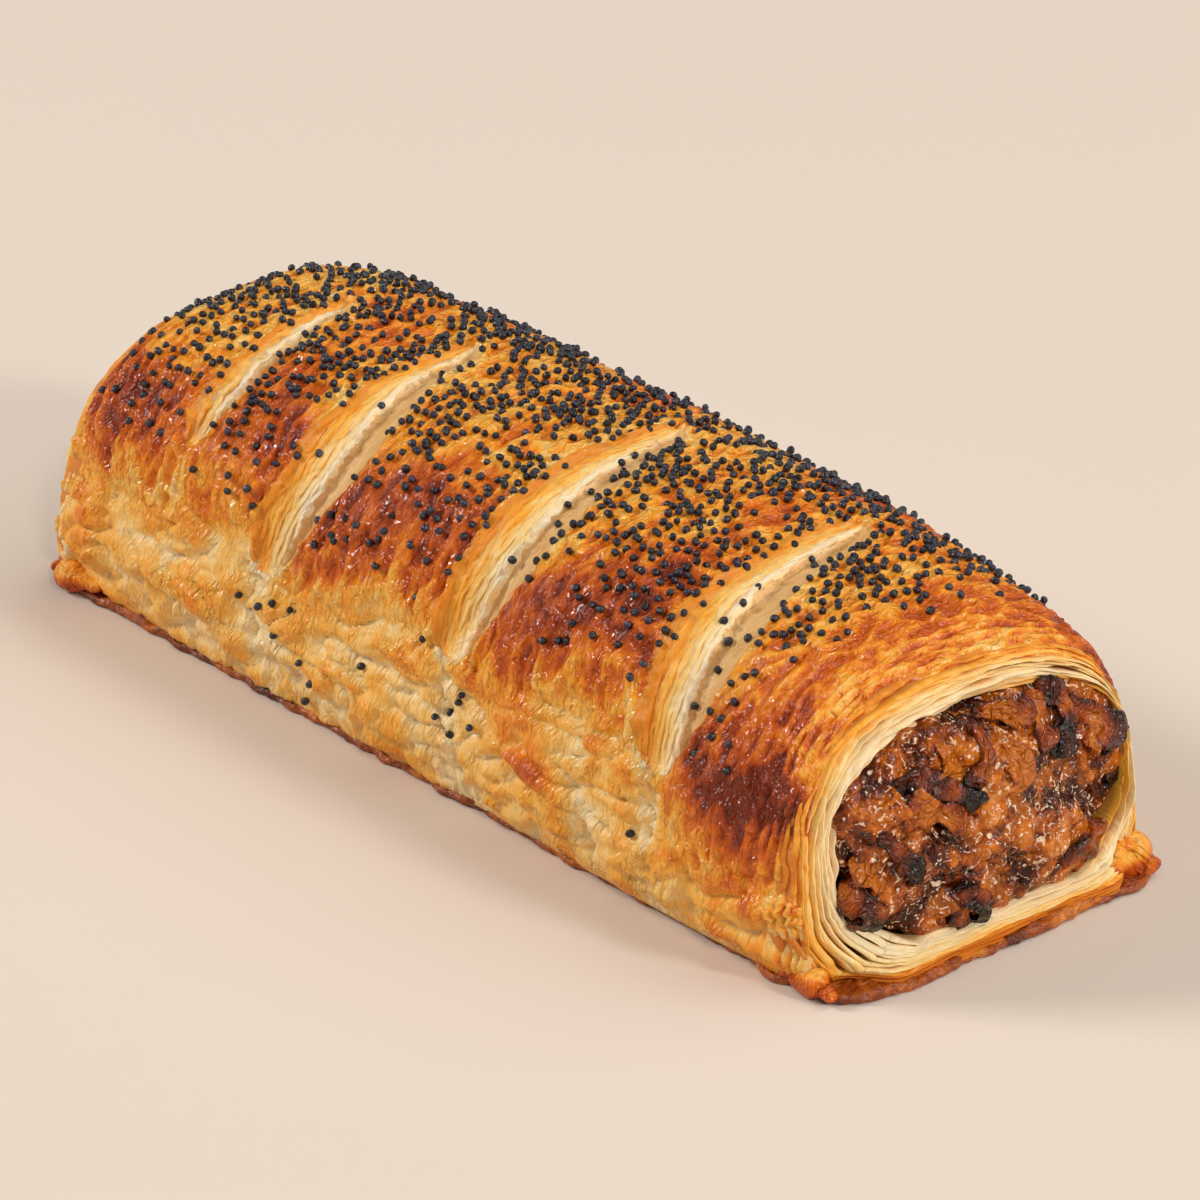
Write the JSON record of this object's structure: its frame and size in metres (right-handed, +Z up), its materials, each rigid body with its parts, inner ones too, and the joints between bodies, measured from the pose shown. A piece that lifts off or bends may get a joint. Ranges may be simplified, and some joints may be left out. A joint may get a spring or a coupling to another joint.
{
  "type": "sausage roll",
  "caption": "Baked sausage roll: a slashed, seeded puff pastry sleeve round a log of sausage meat that shows at both cut ends.",
  "frame": {"origin": "middle of the flat base, on the surface the roll rests on", "axes": "+X along the roll, the slashes run down the -Y side, +Z up"},
  "size_m": [0.16, 0.0593, 0.0412],
  "materials": {
    "baked_pastry": "egg-washed puff pastry, glossy amber brown on top and pale gold at the sides",
    "sausage_meat": "baked sausage meat, moist and browned, with bits of fried onion",
    "poppy_seed": "blue-black poppy seed"
  },
  "bodies": {
    "root": {"pastry": "baked_pastry", "filling": "sausage_meat"}
  },
  "joints": []
}
